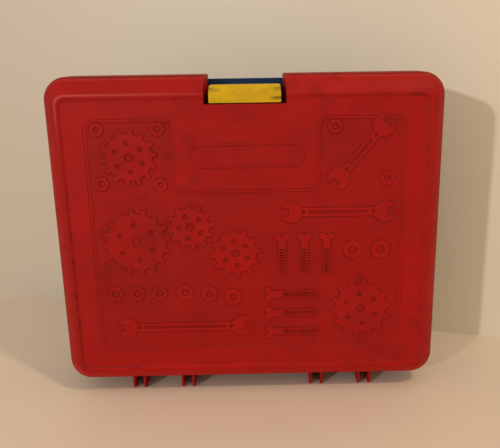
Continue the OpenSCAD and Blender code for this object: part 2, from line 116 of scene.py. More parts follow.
def filleted(points, radii, steps=6, sharper=0.6):
    # closed outline with its corners rounded; radii may hold one radius for each corner, and a
    # corner that turns by less than sharper degrees stays
    result = []
    count = len(points)
    for i, corner in enumerate(points):
        radius = radii[i] if isinstance(radii, (list, tuple)) else radii
        here = Vector(corner)
        back = Vector(points[i - 1]) - here
        ahead = Vector(points[(i + 1) % count]) - here
        angle = back.angle(ahead)
        if radius <= 0 or angle > math.radians(180 - sharper):
            result.append(corner)
            continue
        reach = radius / math.tan(angle / 2)
        reach = min(reach, back.length * 0.49, ahead.length * 0.49)
        radius = reach * math.tan(angle / 2)
        start = here + back.normalized() * reach
        end = here + ahead.normalized() * reach
        inwards = (back.normalized() + ahead.normalized()).normalized()
        middle = here + inwards * (radius / math.sin(angle / 2))
        a = math.atan2(start[1] - middle[1], start[0] - middle[0])
        b = math.atan2(end[1] - middle[1], end[0] - middle[0])
        sweep = (b - a + math.pi) % (2 * math.pi) - math.pi
        for k in range(steps + 1):
            t = a + sweep * k / steps
            result.append((middle[0] + radius * math.cos(t), middle[1] + radius * math.sin(t)))
    return result


def grown(points, distance, leastShare=0.35):
    # closed outline moved outwards; a hole that runs the other way shrinks, and leastShare keeps a
    # sharp corner from running far out
    result = []
    count = len(points)
    for i in range(count):
        before = Vector(points[i]) - Vector(points[i - 1])
        after = Vector(points[(i + 1) % count]) - Vector(points[i])
        before = before.normalized() if before.length > 1e-9 else after.normalized()
        after = after.normalized() if after.length > 1e-9 else before
        normal = Vector((before[1] + after[1], -before[0] - after[0]))
        if normal.length < 1e-6:
            normal = Vector((before[1], -before[0]))
        normal.normalize()
        share = max(leastShare, normal.dot(Vector((after[1], -after[0]))))
        x, v = points[i]
        result.append((x + normal[0] * distance / share, v + normal[1] * distance / share))
    return result


def moved(points, x, v, degrees=0):
    c, s = turn(degrees)
    return [(x + a * c - b * s, v + a * s + b * c) for a, b in points]


# Meshes, made ring by ring

def front(x, v, depth):
    # bench place to world: x, height from the case's centre, distance in front of the rims
    return Vector((x, -depth, v + case["middle"]))


def ringVerts(bm, points, place):
    return [bm.verts.new(place(a, b)) for a, b in points]


def bridge(bm, low, high, closed=True, material=0):
    count = len(low)
    for i in range(count if closed else count - 1):
        j = (i + 1) % count
        face = bm.faces.new((low[i], low[j], high[j], high[i]))
        face.material_index = material


def fillRings(bm, rings, flat, material=0):
    # flat holds each ring's points in the plane, rings their vertices
    verts = [v for ring in rings for v in ring]
    for corners in tessellate_polygon([[Vector((a, b, 0)) for a, b in points] for points in flat]):
        face = bm.faces.new([verts[i] for i in corners])
        face.material_index = material


def plate(bm, outlines, levels, place):
    # solid with the first outline as its edge and the others as holes; levels are (grow, height) pairs
    stack = []
    for grow, height in levels:
        flat = [grown(points, grow) for points in outlines]
        stack.append((flat, [ringVerts(bm, points, lambda a, b: place(a, b, height)) for points in flat]))
    for (_, low), (_, high) in zip(stack, stack[1:]):
        for lowRing, highRing in zip(low, high):
            bridge(bm, lowRing, highRing)
    for flat, rings in (stack[-1], stack[0]):
        fillRings(bm, rings, flat)


def makeObject(name, bm, materials, body):
    bmesh.ops.recalc_face_normals(bm, faces=bm.faces)
    mesh = bpy.data.meshes.new(name)
    bm.to_mesh(mesh)
    bm.free()
    mesh.shade_smooth()
    mesh.set_sharp_from_angle(angle=math.radians(edges["sharp"]))
    for material in materials:
        mesh.materials.append(material)
    piece = bpy.data.objects.new(name, mesh)
    scene.collection.objects.link(piece)
    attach(piece, body)
    return piece


def evenNormals(piece):
    normals = piece.modifiers.new("even normals", "WEIGHTED_NORMAL")
    normals.keep_sharp = True


def softEdges(piece, width):
    bevel = piece.modifiers.new("soft edges", "BEVEL")
    bevel.width = width
    bevel.segments = edges["segments"]
    bevel.limit_method = "ANGLE"
    bevel.angle_limit = math.radians(edges["angle"])
    bevel.use_clamp_overlap = True
    evenNormals(piece)


def softenNode(name, width):
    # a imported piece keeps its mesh; modifiers join its flat faces and round its edges
    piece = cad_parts[name]
    weld = piece.modifiers.new("weld", "WELD")
    weld.merge_threshold = edges["weld"]
    flat = piece.modifiers.new("flat faces", "DECIMATE")
    flat.decimate_type = "DISSOLVE"
    flat.angle_limit = math.radians(edges["flat"])
    softEdges(piece, width)


# Helpers for node materials

def startMaterial(name):
    material = bpy.data.materials.new(name)
    material.use_nodes = True
    tree = material.node_tree
    shader = tree.nodes["Principled BSDF"]
    place = tree.nodes.new("ShaderNodeTexCoord")
    return material, tree, shader, place.outputs["Object"]


def plug(tree, socket, value):
    if isinstance(value, bpy.types.NodeSocket):
        tree.links.new(value, socket)
    else:
        socket.default_value = value


def noise(tree, where, scale, detail=2.0, roughness=0.5, stretch=None, distortion=0.0):
    if stretch:
        mapping = tree.nodes.new("ShaderNodeMapping")
        tree.links.new(where, mapping.inputs["Vector"])
        mapping.inputs["Scale"].default_value = stretch
        where = mapping.outputs["Vector"]
    texture = tree.nodes.new("ShaderNodeTexNoise")
    tree.links.new(where, texture.inputs["Vector"])
    texture.inputs["Scale"].default_value = scale
    texture.inputs["Detail"].default_value = detail
    texture.inputs["Roughness"].default_value = roughness
    texture.inputs["Distortion"].default_value = distortion
    return texture.outputs["Fac"]


def spread(tree, value, low, high, toLow=0.0, toHigh=1.0, smooth=False):
    node = tree.nodes.new("ShaderNodeMapRange")
    node.interpolation_type = "SMOOTHSTEP" if smooth else "LINEAR"
    plug(tree, node.inputs["Value"], value)
    node.inputs["From Min"].default_value = low
    node.inputs["From Max"].default_value = high
    node.inputs["To Min"].default_value = toLow
    node.inputs["To Max"].default_value = toHigh
    return node.outputs["Result"]


def calc(tree, operation, a, b=0.0):
    node = tree.nodes.new("ShaderNodeMath")
    node.operation = operation
    plug(tree, node.inputs[0], a)
    plug(tree, node.inputs[1], b)
    return node.outputs[0]


def blendColours(tree, share, a, b, kind="MIX"):
    node = tree.nodes.new("ShaderNodeMix")
    node.data_type = "RGBA"
    node.blend_type = kind
    plug(tree, node.inputs["Factor"], share)
    plug(tree, node.inputs["A"], a)
    plug(tree, node.inputs["B"], b)
    return node.outputs["Result"]


def bump(tree, shader, height, distance):
    node = tree.nodes.new("ShaderNodeBump")
    node.inputs["Strength"].default_value = 1.0
    node.inputs["Distance"].default_value = distance
    tree.links.new(height, node.inputs["Height"])
    tree.links.new(node.outputs["Normal"], shader.inputs["Normal"])


def parted(tree, where):
    node = tree.nodes.new("ShaderNodeSeparateXYZ")
    tree.links.new(where, node.inputs[0])
    return node.outputs["X"], node.outputs["Y"], node.outputs["Z"]


def hollows(tree, distance):
    # occlusion mask for painted shade: 1 deep in a corner or groove, where shade falls, and 0 on open
    # surfaces
    node = tree.nodes.new("ShaderNodeAmbientOcclusion")
    node.samples = 8
    node.inputs["Distance"].default_value = distance
    return spread(tree, node.outputs["AO"], 0.55, 0.98, 1.0, 0.0)


# Red moulded plastic; widths and insets in metres, shares from 0 to 1
red = {
    "face": (0.34, 0.006, 0.0036, 1),
    "line": (0.22, 0.0045, 0.0028, 1),
    "worn": (0.31, 0.0085, 0.0055, 1),
    "field": (0.30, 0.0058, 0.0034, 1),
    "dirtAndShade": (0.03, 0.005, 0.003, 1),
    "wearAndSheen": (0.55, 0.10, 0.075, 1),
    # brighter red painted on the lowest border as bounced light
    "lower": (0.45, 0.0045, 0.0022, 1),
    "roughness": 0.5,
    "roughLess": 0.06,
    "roughMore": 0.16,
    "specular": 0.11,
    "wornShare": 0.55,
    "smudgeShare": 0.4,
    "filmShare": 0.2,
    "hollow": 2.6 * mm,
    "hollowShare": 0.62,
    "grain": 0.035 * mm,
    "ribPitch": 1.1 * mm,  # the sunk field's fine lines
    "ribGrain": 0.06 * mm,
}

# Marks on the red border, painted shade and highlights among them: where each lies and how much of it shows
marks = {
    "lowerLightHeights": (0.022, 0.042),
    "lowerLightShare": 0.85,
    "strip": (-2.6 * mm, -1.9 * mm),  # across the inner edge of the painted shade on the outermost strip
    "stripShadeShare": 0.34,
    "borderEnd": (-0.4 * mm, 1 * mm),
    "edgeInset": 3.1 * mm,
    "edgeLine": (0.15 * mm, 0.7 * mm),  # core and fade of a line
    "edgeHeights": (0.1, 0.33),
    "edgeWearAndGlintShare": 0.3,
    "lipInset": 15.6 * mm,
    "sheenLine": (0.3 * mm, 1.3 * mm),
    "sheenAcross": (-0.19, 0.0),
    "sheenHeights": (0.27, 0.335),
    "sheenShare": 0.4,
    "lipShadeLine": (1.2 * mm, 2.2 * mm),
    "lipShadeAcross": (-0.172, -0.16),
    "lipShadeHeights": (0.3, 0.322),
    "lipShadeShare": 0.35,
    "creaseInset": 19.3 * mm,
    "creaseLine": (0.15 * mm, 1.3 * mm),
    "creaseWander": 2.4 * mm,
    "creaseShare": 0.85,
    "leftAcross": (-0.15, -0.11),
    "leftHeights": (0.2, 0.32),
    "rightAcross": (0.15, 0.175),
    "rightHeights": (0.04, 0.08),
    "leastDirt": 0.06,
    "smearLine": (0.5 * mm, 4.5 * mm),
    "smearShare": 0.42,
}


def borderDistance(tree, x, z, inset):
    # how far outside the rounded outline at this inset of the front's border a point lies
    atSides, atTop, atBottom = [inset * share for share in shell["shares"]]
    radius = case["corner"] - inset * shell["cornerShare"]
    halfX = case["width"] / 2 - atSides - radius
    halfZ = (case["height"] - atTop - atBottom) / 2 - radius
    middle = case["middle"] + (atBottom - atTop) / 2
    outX = calc(tree, "SUBTRACT", calc(tree, "ABSOLUTE", x), halfX)
    outZ = calc(tree, "SUBTRACT", calc(tree, "ABSOLUTE", calc(tree, "SUBTRACT", z, middle)), halfZ)
    bend = [calc(tree, "POWER", calc(tree, "MAXIMUM", out, 0.0), 2.0) for out in (outX, outZ)]
    far = calc(tree, "SQRT", calc(tree, "ADD", *bend))
    near = calc(tree, "MINIMUM", calc(tree, "MAXIMUM", outX, outZ), 0.0)
    return calc(tree, "SUBTRACT", calc(tree, "ADD", far, near), radius)


def lineAlong(tree, distance, core, fade):
    # 1 on a line and 0 beyond its faded edge
    return spread(tree, calc(tree, "ABSOLUTE", distance), core, core + fade, 1, 0, True)


def product(tree, *factors):
    result = factors[0]
    for factor in factors[1:]:
        result = calc(tree, "MULTIPLY", result, factor)
    return result


def edgeMarks(tree, where, x, z, colour):
    # painted shade on the outermost strip, and inside it a bright line that is partly edge wear and partly
    # painted highlight, stronger higher up
    outline = borderDistance(tree, x, z, 0)
    onBorder = spread(tree, outline, *marks["borderEnd"], 1, 0)
    patchy = spread(tree, noise(tree, where, 40, 4), 0.25, 0.6, 0.55, 1)
    # painted shade on the outermost strip
    strip = product(tree, spread(tree, outline, *marks["strip"], 0, 1, True), patchy, marks["stripShadeShare"])
    colour = blendColours(tree, strip, colour, red["dirtAndShade"])
    # bright line: partly edge wear, partly painted highlight
    edge = lineAlong(tree, calc(tree, "ADD", outline, marks["edgeInset"]), *marks["edgeLine"])
    worn = spread(tree, noise(tree, where, 25, 5, 0.65), 0.35, 0.65, 0.2, 1)
    high = spread(tree, z, *marks["edgeHeights"], 0.25, 1, True)
    worn = product(tree, edge, worn, high, onBorder, marks["edgeWearAndGlintShare"])
    return blendColours(tree, worn, colour, red["wearAndSheen"])


def lipMarks(tree, x, z, colour):
    # a painted highlight along the lip near its upper left corner, and painted shade further down its left
    # side
    lip = borderDistance(tree, x, z, marks["lipInset"])
    # painted highlight on the lip
    leftHigh = product(tree, spread(tree, x, *marks["sheenAcross"], 1, 0.1, True),
                       spread(tree, z, *marks["sheenHeights"], 0.03, 1, True))
    sheen = product(tree, lineAlong(tree, lip, *marks["sheenLine"]), leftHigh, marks["sheenShare"])
    colour = blendColours(tree, sheen, colour, red["wearAndSheen"])
    # painted shade on the lip's left side, in the darker line red
    leftLow = product(tree, spread(tree, x, *marks["lipShadeAcross"], 1, 0, True),
                      spread(tree, z, *marks["lipShadeHeights"], 1, 0, True))
    lipShade = product(tree, lineAlong(tree, lip, *marks["lipShadeLine"]), leftLow, marks["lipShadeShare"])
    return blendColours(tree, lipShade, colour, red["line"])


def creaseMarks(tree, where, x, z, colour):
    # dirt that has gathered in the crease, most of it at the left and low down
    crease = borderDistance(tree, x, z, marks["creaseInset"])
    wander = calc(tree, "SUBTRACT", noise(tree, where, 45, 3, 0.6), 0.5)
    wander = calc(tree, "MULTIPLY", wander, marks["creaseWander"])
    line = lineAlong(tree, calc(tree, "ADD", crease, wander), *marks["creaseLine"])
    specks = spread(tree, noise(tree, where, 170, 5, 0.7, (1, 1, 0.5)), 0.4, 0.6)
    left = product(tree, spread(tree, x, *marks["leftAcross"], 1, 0, True),
                   spread(tree, z, *marks["leftHeights"], 1, 0.25))
    right = product(tree, spread(tree, x, *marks["rightAcross"], 0, 0.55, True),
                    spread(tree, z, *marks["rightHeights"], 0, 1, True))
    amount = calc(tree, "MAXIMUM", calc(tree, "MAXIMUM", left, right), marks["leastDirt"])
    line = product(tree, line, specks, amount, marks["creaseShare"])
    colour = blendColours(tree, line, colour, red["dirtAndShade"])
    wide = calc(tree, "ADD", crease, calc(tree, "MULTIPLY", wander, 2.0))
    smears = spread(tree, noise(tree, where, 48, 5, 0.7, (0.7, 1, 1.4)), 0.5, 0.72)
    smears = product(tree, lineAlong(tree, wide, *marks["smearLine"]), smears, marks["smearShare"])
    return blendColours(tree, smears, colour, red["dirtAndShade"])


def redPlastic(name, base="face", ribbed=False):
    material, tree, shader, where = startMaterial(name)
    clouds = noise(tree, where, 9, 4, 0.6)
    colour = blendColours(tree, spread(tree, clouds, 0.4, 0.75, 0, red["wornShare"]), red[base], red["worn"])
    grime = noise(tree, where, 55, 6, 0.65)
    patches = noise(tree, where, 7, 3, 0.5)
    smudge = product(tree, spread(tree, grime, 0.48, 0.72), spread(tree, patches, 0.42, 0.68))
    colour = blendColours(tree, product(tree, smudge, red["smudgeShare"]), colour, red["dirtAndShade"])
    film = spread(tree, noise(tree, where, 17, 5, 0.62, (0.8, 1, 1.2)), 0.42, 0.72, 0, red["filmShare"])
    colour = blendColours(tree, film, colour, red["dirtAndShade"])
    # dirt and painted shade in corners and grooves, from the occlusion mask
    hollowDirtAndShade = product(tree, hollows(tree, red["hollow"]),
                     spread(tree, noise(tree, where, 90, 3), 0.25, 0.6, 0.45, 1), red["hollowShare"])
    colour = blendColours(tree, hollowDirtAndShade, colour, red["dirtAndShade"])
    x, _, z = parted(tree, where)
    if base == "face":
        # painted light: the lowest border is brightened towards the lighter red, standing in for light
        # bounced up from the floor
        clean = spread(tree, z, *marks["lowerLightHeights"], marks["lowerLightShare"], 0, True)
        colour = blendColours(tree, clean, colour, red["lower"])
        colour = edgeMarks(tree, where, x, z, colour)
        colour = lipMarks(tree, x, z, colour)
        colour = creaseMarks(tree, where, x, z, colour)
    tree.links.new(colour, shader.inputs["Base Color"])
    height = noise(tree, where, 900, 3, 0.6)
    if ribbed:
        lines = calc(tree, "SINE", calc(tree, "MULTIPLY", z, 2 * math.pi / red["ribPitch"]))
        height = calc(tree, "ADD", calc(tree, "MULTIPLY", height, 0.8), calc(tree, "MULTIPLY", lines, 0.3))
    bump(tree, shader, height, red["ribGrain"] if ribbed else red["grain"])
    rough = spread(tree, calc(tree, "ADD", clouds, smudge), 0.3, 1.3,
                   red["roughness"] - red["roughLess"], red["roughness"] + red["roughMore"])
    tree.links.new(rough, shader.inputs["Roughness"])
    shader.inputs["Specular IOR Level"].default_value = red["specular"]
    return material


yellow = {
    "clean": (0.555, 0.35, 0.0033, 1),
    "soiled": (0.42, 0.22, 0.006, 1),
    "dirtAndShade": (0.06, 0.03, 0.006, 1),
    "roughness": (0.37, 0.57),
    "specular": 0.16,
    "soiledShare": 0.75,
    "speckShare": 0.45,
    "hollow": 2 * mm,
    "hollowShare": 0.5,
    "grain": 0.03 * mm,
    "streakStart": (22 * mm, 32 * mm),  # distance from the latch's middle
    "lowStreakStart": (15 * mm, 28 * mm),
    "streakInset": 4 * mm,  # from the latch's upper and lower edges
    "streakShare": 0.8,
}


def yellowStreaks(tree, where, heights, colour):
    # dirt streaks near the ends of a latch that reaches from the lower to the upper of two heights
    x, _, z = parted(tree, where)
    low, high = heights
    streaks = spread(tree, noise(tree, where, 55, 6, 0.7, (0.6, 1, 4)), 0.36, 0.54)
    nearEnd = spread(tree, calc(tree, "ABSOLUTE", x), *yellow["streakStart"], 0, 1, True)
    fromTop = calc(tree, "SUBTRACT", z, high - yellow["streakInset"])
    nearTop = lineAlong(tree, fromTop, 0.8 * mm, 2.6 * mm)
    fromLow = calc(tree, "SUBTRACT", z, low + yellow["streakInset"])
    nearLow = product(tree, lineAlong(tree, fromLow, 0.4 * mm, 2.6 * mm),
                      spread(tree, x, *yellow["lowStreakStart"], 0, 1, True))
    dirty = product(tree, streaks, nearEnd, calc(tree, "MAXIMUM", nearTop, nearLow), yellow["streakShare"])
    return blendColours(tree, dirty, colour, yellow["dirtAndShade"])


def yellowPlastic(name, soil=1.0, heights=None):
    material, tree, shader, where = startMaterial(name)
    clouds = noise(tree, where, 60, 5, 0.6, (1, 1, 1.8))
    soiled = spread(tree, clouds, 0.42, 0.75, 0, yellow["soiledShare"] * soil)
    colour = blendColours(tree, soiled, yellow["clean"], yellow["soiled"])
    specks = spread(tree, noise(tree, where, 260, 4, 0.6), 0.6, 0.78, 0, yellow["speckShare"] * soil)
    colour = blendColours(tree, specks, colour, yellow["dirtAndShade"])
    # dirt and painted shade in corners and grooves, from the occlusion mask
    hollowDirtAndShade = calc(tree, "MULTIPLY", hollows(tree, yellow["hollow"]), yellow["hollowShare"] * soil)
    colour = blendColours(tree, hollowDirtAndShade, colour, yellow["dirtAndShade"])
    if heights:
        colour = yellowStreaks(tree, where, heights, colour)
    tree.links.new(colour, shader.inputs["Base Color"])
    bump(tree, shader, noise(tree, where, 700, 3), yellow["grain"])
    tree.links.new(spread(tree, clouds, 0.3, 0.8, *yellow["roughness"]), shader.inputs["Roughness"])
    shader.inputs["Specular IOR Level"].default_value = yellow["specular"]
    return material


blue = {
    "clean": (0.002, 0.019, 0.064, 1),
    "cloudy": (0.003, 0.025, 0.077, 1),
    "scratched": (0.05, 0.07, 0.11, 1),
    "scratchShare": 0.25,
    "roughness": (0.42, 0.58),
    "specular": 0.16,
    "grain": 0.05 * mm,
}


def bluePlastic(name):
    material, tree, shader, where = startMaterial(name)
    clouds = noise(tree, where, 8, 4, 0.6)
    colour = blendColours(tree, spread(tree, clouds, 0.35, 0.75), blue["clean"], blue["cloudy"])
    scratches = noise(tree, where, 30, 6, 0.7, (1, 1, 6), 1.5)
    scratches = spread(tree, scratches, 0.66, 0.78, 0, blue["scratchShare"])
    colour = blendColours(tree, scratches, colour, blue["scratched"])
    tree.links.new(colour, shader.inputs["Base Color"])
    bump(tree, shader, noise(tree, where, 900, 3), blue["grain"])
    tree.links.new(spread(tree, clouds, 0.3, 0.8, *blue["roughness"]), shader.inputs["Roughness"])
    shader.inputs["Specular IOR Level"].default_value = blue["specular"]
    return material


grey = {
    "clean": (0.17, 0.19, 0.225, 1),
    "cloudy": (0.21, 0.23, 0.26, 1),
    "dustAndShade": (0.07, 0.065, 0.06, 1),
    "dustShare": 0.5,
    "hollow": 5 * mm,
    "roughness": (0.45, 0.6),
    "grain": 0.05 * mm,
}


def greyPlastic(name):
    material, tree, shader, where = startMaterial(name)
    clouds = noise(tree, where, 14, 4, 0.6)
    colour = blendColours(tree, spread(tree, clouds, 0.35, 0.75), grey["clean"], grey["cloudy"])
    # dust and painted shade in corners and grooves, from the occlusion mask
    dustAndShade = product(tree, hollows(tree, grey["hollow"]), spread(tree, noise(tree, where, 120, 5), 0.4, 0.7),
                   grey["dustShare"])
    colour = blendColours(tree, dustAndShade, colour, grey["dustAndShade"])
    tree.links.new(colour, shader.inputs["Base Color"])
    bump(tree, shader, noise(tree, where, 500, 3), grey["grain"])
    tree.links.new(spread(tree, clouds, 0.3, 0.8, *grey["roughness"]), shader.inputs["Roughness"])
    return material


clear = {
    "bright": (0.86, 0.92, 0.93, 1),
    "hazy": (0.78, 0.86, 0.88, 1),
    "roughness": (0.03, 0.12),
    "transmission": 0.93,
    "ior": 1.2,
    "alpha": 0.35,
}


def clearPlastic(name):
    material, tree, shader, where = startMaterial(name)
    haze = noise(tree, where, 25, 5, 0.65, (1, 1, 3), 1.0)
    tree.links.new(spread(tree, haze, 0.4, 0.75, *clear["roughness"]), shader.inputs["Roughness"])
    colour = blendColours(tree, spread(tree, haze, 0.3, 0.8), clear["bright"], clear["hazy"])
    tree.links.new(colour, shader.inputs["Base Color"])
    shader.inputs["Transmission Weight"].default_value = clear["transmission"]
    shader.inputs["IOR"].default_value = clear["ior"]
    shader.inputs["Alpha"].default_value = clear["alpha"]
    return material


wire = {
    "dark": (0.44, 0.45, 0.46, 1),
    "bright": (0.62, 0.62, 0.62, 1),
    "roughness": (0.28, 0.5),
}


def steelWire(name):
    material, tree, shader, where = startMaterial(name)
    drawn = noise(tree, where, 300, 4, 0.6, (0.3, 6, 6))
    tree.links.new(blendColours(tree, drawn, wire["dark"], wire["bright"]), shader.inputs["Base Color"])
    tree.links.new(spread(tree, drawn, 0.2, 0.8, *wire["roughness"]), shader.inputs["Roughness"])
    shader.inputs["Metallic"].default_value = 1.0
    return material


redFace = redPlastic("red_plastic_face")
redField = redPlastic("red_plastic_field", "field", ribbed=True)
redLine = redPlastic("red_plastic_line", "line")
yellowLatch = yellowPlastic("yellow_plastic_latch", 1.0, (0.3268, 0.3438))
yellowBox = yellowPlastic("yellow_plastic_box", 0.35)
blueShell = bluePlastic("blue_plastic")
greyTray = greyPlastic("grey_plastic")
clearSheet = clearPlastic("clear_plastic")
steel = steelWire("steel")
print("materials ready")


# Front shell: rounded border, face and sunk field in one

faceDepth = case["depth"] - shell["creaseDrop"]
creaseIn = shell["bandWidth"] + shell["creaseWidth"]
startCos, startSin = turn(shell["bandStart"])
endCos, endSin = turn(shell["bandEnd"])
bandRadius = shell["bandWidth"] / (startSin - endSin)
edgeDepth = case["depth"] - bandRadius * (endCos - startCos)
bandCentre = (bandRadius * startSin, edgeDepth - bandRadius * startCos)
rimDepth = case["rimGap"] / 2
notchFloor = case["height"] / 2 - shell["notchDrop"]


def caseRing(inset, gap):
    # rounded rectangle at an inset, open at the top over the gap; it runs clockwise from the right
    atSides, atTop, atBottom = [inset * (share if inset > 0 else 1) for share in shell["shares"]]
    radius = case["corner"] - inset * shell["cornerShare"]
    steps = shell["cornerSteps"]
    right = case["width"] / 2 - atSides - radius
    top = case["height"] / 2 - atTop
    high, low = top - radius, atBottom + radius - case["height"] / 2
    lip = shell["notchRound"]
    return (arc((gap + lip, top - lip), lip, 180, 90, shell["notchSteps"])
            + arc((right, high), radius, 90, 0, steps)
            + arc((right, low), radius, 0, -90, steps)
            + arc((-right, low), radius, -90, -180, steps)
            + arc((-right, high), radius, 180, 90, steps)
            + arc((-gap - lip, top - lip), lip, 90, 0, shell["notchSteps"]))


def notchHalf(depth):
    return shell["notchWidth"] / 2 + depth * math.tan(math.radians(shell["notchDraft"]))


def bandProfile():
    # (inset, depth) from the rim over the flared side and the swelling border down to the face
    steep, flat = shell["swellSlopes"]
    steps = shell["swellSteps"]
    strip = shell["stripWidth"]
    swell = [(strip * k / 4, strip * k / 4 * math.tan(math.radians(shell["stripSlope"]))) for k in range(5)]
    stride = (shell["swellEnd"] - strip) / steps
    for k in range(steps):
        t = (k + 0.5) / steps
        slope = steep - (steep - flat) * t ** shell["swellBend"]
        inset, depth = swell[-1]
        swell.append((inset + stride, depth + math.tan(math.radians(slope)) * stride))
    rise = case["depth"] - swell[-1][1]
    swell = [(inset, depth + rise) for inset, depth in swell]
    knee = Vector(swell[0])
    rim = (-case["flare"], rimDepth)
    near = knee + (Vector(rim) - knee).normalized() * shell["edgeRound"]
    far = Vector(swell[2])
    edge = [tuple(near * (1 - t) ** 2 + knee * 2 * t * (1 - t) + far * t ** 2)
            for t in (0, 0.25, 0.5, 0.75, 1)]
    lip = []
    slope = math.tan(math.radians(flat)) * shell["lipWidth"]
    for k in range(1, shell["lipSteps"] + 1):
        t = k / shell["lipSteps"]
        low = t * t * (3 - 2 * t)
        lead = t * (1 - t) ** 2
        depth = case["depth"] - shell["creaseDrop"] * low + slope * lead
        lip.append((shell["swellEnd"] + shell["lipWidth"] * t, depth))
    foot = (shell["swellEnd"] + shell["lipWidth"] + shell["lipFoot"], faceDepth)
    return [rim] + edge + swell[3:] + lip + [foot]


def innerProfile():
    radius = bandRadius - case["wall"]
    bend = arc(bandCentre, radius, 90 + shell["bandStart"], 90 + shell["bandEnd"], 12)
    return [(case["wall"] - case["flare"], rimDepth)] + bend + [(creaseIn, faceDepth - case["wall"])]


field = {
    "side": 23.8 * mm,
    "top": 25.2 * mm,
    "bottom": 22.7 * mm,
    "round": 12 * mm,
    "depth": 1 * mm,
    "blockWidth": 150.8 * mm,
    "blockDrop": 74.9 * mm,
    "armRound": 9 * mm,
    # its stepped wall: mm outside the outline, and how far down as a share of the depth
    "wall": ((2.2, 0), (1.85, 0.04), (1.6, 0.25), (1.35, 0.46), (1, 0.5),
             (-1, 0.5), (-1.35, 0.54), (-1.6, 0.75), (-1.85, 0.96), (-2.2, 1)),
    "darkSteps": (1, 2, 6, 7),
}
fieldRight = case["width"] / 2 - shell["bandWidth"] - field["side"]
fieldTop = case["height"] / 2 - shell["bandWidth"] - field["top"]
fieldLow = field["bottom"] + shell["bandWidth"] - case["height"] / 2
blockHalf = field["blockWidth"] / 2
blockLow = fieldTop - field["blockDrop"]


def fieldOutline():
    corners = [(-fieldRight, fieldLow), (fieldRight, fieldLow), (fieldRight, fieldTop),
               (blockHalf, fieldTop), (blockHalf, blockLow), (-blockHalf, blockLow),
               (-blockHalf, fieldTop), (-fieldRight, fieldTop)]
    bend, arm = field["round"], field["armRound"]
    return filleted(corners, [bend, bend, bend, arm, bend, bend, arm, bend], 8)


def shellSkin(bm, profile, widen):
    skin = []
    for inset, depth in profile:
        ring = caseRing(inset, notchHalf(depth) + widen)
        skin.append((ring, ringVerts(bm, ring, lambda a, b: front(a, b, depth))))
    for (_, low), (_, high) in zip(skin, skin[1:]):
        bridge(bm, low, high, False)
    return skin


def frontShell():
    plain, ribbed, dark = range(3)  # places in the piece's list of materials
    bm = bmesh.new()
    outer = shellSkin(bm, bandProfile(), 0)
    inner = shellSkin(bm, innerProfile(), case["wall"])
    bridge(bm, outer[0][1], inner[0][1], False)

    # notch: side walls and floor, outside and inside
    innerFace = faceDepth - case["wall"]
    innerFloor = notchFloor - case["wall"]
    corners = {}
    for side in (1, -1):
        for name, depth, grow, low in (("rim", rimDepth, 0, notchFloor), ("face", faceDepth, 0, notchFloor),
                                       ("rimIn", rimDepth, case["wall"], innerFloor),
                                       ("faceIn", innerFace, case["wall"], innerFloor)):
            corners[name, side] = bm.verts.new(front(side * (notchHalf(depth) + grow), low, depth))
        end = 0 if side == 1 else -1
        bm.faces.new([ring[end] for _, ring in outer] + [corners["face", side], corners["rim", side]])
        bm.faces.new([ring[end] for _, ring in inner] + [corners["faceIn", side], corners["rimIn", side]])
        bm.faces.new((outer[0][1][end], inner[0][1][end], corners["rimIn", side], corners["rim", side]))
    for a, b in (("rim", "face"), ("rimIn", "faceIn"), ("rim", "rimIn")):
        bm.faces.new((corners[a, 1], corners[a, -1], corners[b, -1], corners[b, 1]))

    # face with its sunk field
    outline = fieldOutline()
    wallRings = []
    for grow, sink in field["wall"]:
        flat = grown(outline, grow * mm)
        depth = faceDepth - sink * field["depth"]
        wallRings.append((flat, ringVerts(bm, flat, lambda a, b: front(a, b, depth))))
    for k, ((_, low), (_, high)) in enumerate(zip(wallRings, wallRings[1:])):
        bridge(bm, low, high, True, dark if k in field["darkSteps"] else plain)
    half = notchHalf(faceDepth)
    flatFace = outer[-1][0] + [(-half, notchFloor), (half, notchFloor)]
    faceVerts = outer[-1][1] + [corners["face", -1], corners["face", 1]]
    fillRings(bm, [faceVerts, wallRings[0][1]], [flatFace, wallRings[0][0]])
    fillRings(bm, [wallRings[-1][1]], [wallRings[-1][0]], ribbed)
    half = notchHalf(innerFace) + case["wall"]
    flatInner = inner[-1][0] + [(-half, innerFloor), (half, innerFloor)]
    fillRings(bm, [inner[-1][1] + [corners["faceIn", -1], corners["faceIn", 1]]], [flatInner])
    piece = makeObject("front_shell_form", bm, [redFace, redField, redLine], "front")
    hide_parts("front_shell")
    softEdges(piece, shell["softEdge"])


frontShell()
print("front shell made")


# Raised shapes of the field, with the badge left bare

